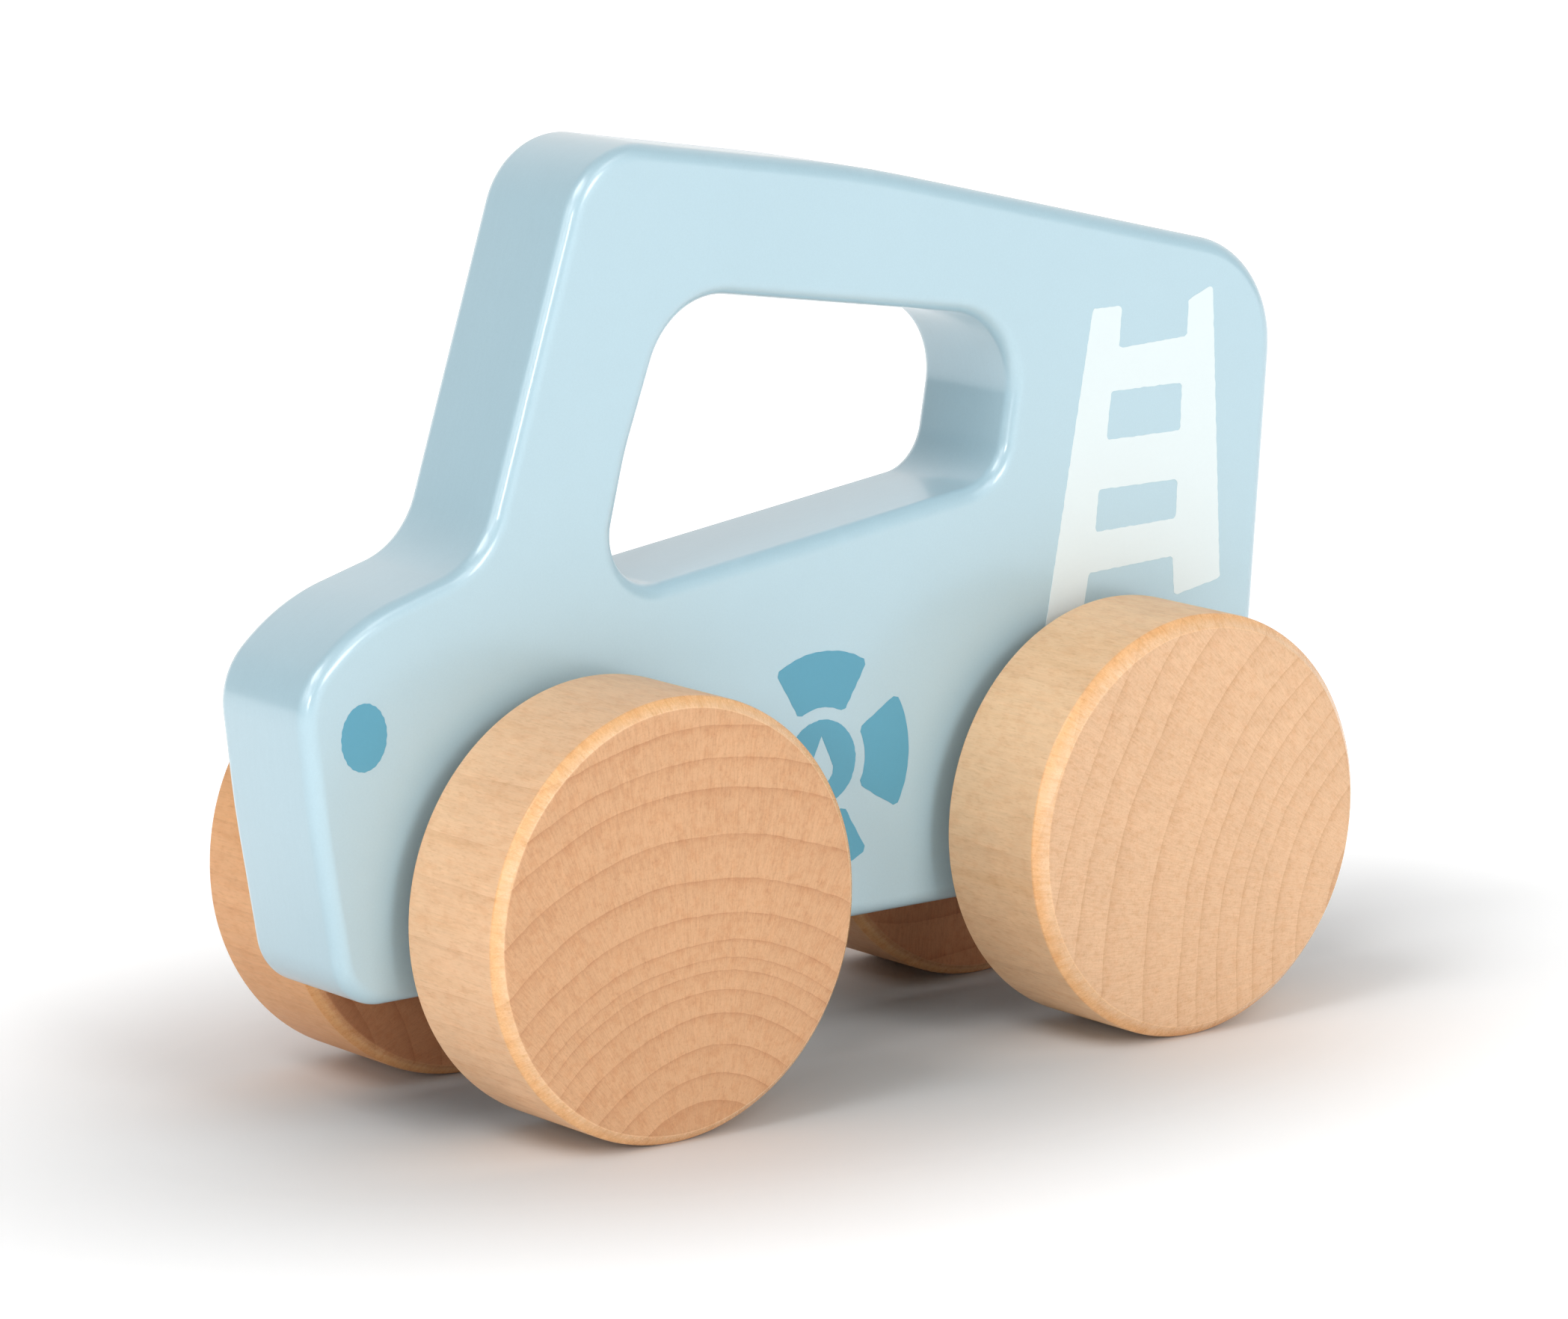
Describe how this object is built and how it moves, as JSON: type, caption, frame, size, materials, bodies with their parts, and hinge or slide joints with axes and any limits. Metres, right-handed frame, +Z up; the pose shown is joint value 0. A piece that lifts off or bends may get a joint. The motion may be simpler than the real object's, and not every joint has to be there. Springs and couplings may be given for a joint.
{
  "type": "toy fire engine",
  "caption": "Flat wooden push-along fire engine: a board cut to the truck's outline, with a hand-hold window, on disc wheels that turn with their axles.",
  "frame": {"origin": "on the ground under the middle of the toy, midway between nose and tail and between its sides", "axes": "+X forwards towards the nose, +Y to the toy's left, +Z up"},
  "size_m": [0.1405, 0.0562, 0.1076],
  "materials": {
    "blue_paint": "satin pale blue paint on wood",
    "wood": "fine sanded clear-oiled beech, end grain on the wheel faces",
    "teal_print": "satin teal screen-printed paint",
    "white_print": "satin white screen-printed paint"
  },
  "bodies": {
    "body": {"body": "blue_paint", "left_ladder_print": "white_print", "left_headlight_print": "teal_print", "left_badge_disc": "teal_print", "left_badge_segment_1": "teal_print", "left_badge_segment_2": "teal_print", "left_badge_segment_3": "teal_print", "left_badge_segment_4": "teal_print", "right_ladder_print": "white_print", "right_headlight_print": "teal_print", "right_badge_disc": "teal_print", "right_badge_segment_1": "teal_print", "right_badge_segment_2": "teal_print", "right_badge_segment_3": "teal_print", "right_badge_segment_4": "teal_print"},
    "front_wheelset": {"front_axle": "wood", "front_left_wheel": "wood", "front_right_wheel": "wood"},
    "rear_wheelset": {"rear_axle": "wood", "rear_left_wheel": "wood", "rear_right_wheel": "wood"}
  },
  "joints": [
    {"name": "front_axle_turn", "type": "hinge", "parent": "body", "child": "front_wheelset", "pos_m": [0.0345, 0, 0.025], "axis": [0, 1, 0], "continuous": true},
    {"name": "rear_axle_turn", "type": "hinge", "parent": "body", "child": "rear_wheelset", "pos_m": [-0.042, 0, 0.025], "axis": [0, 1, 0], "continuous": true}
  ]
}
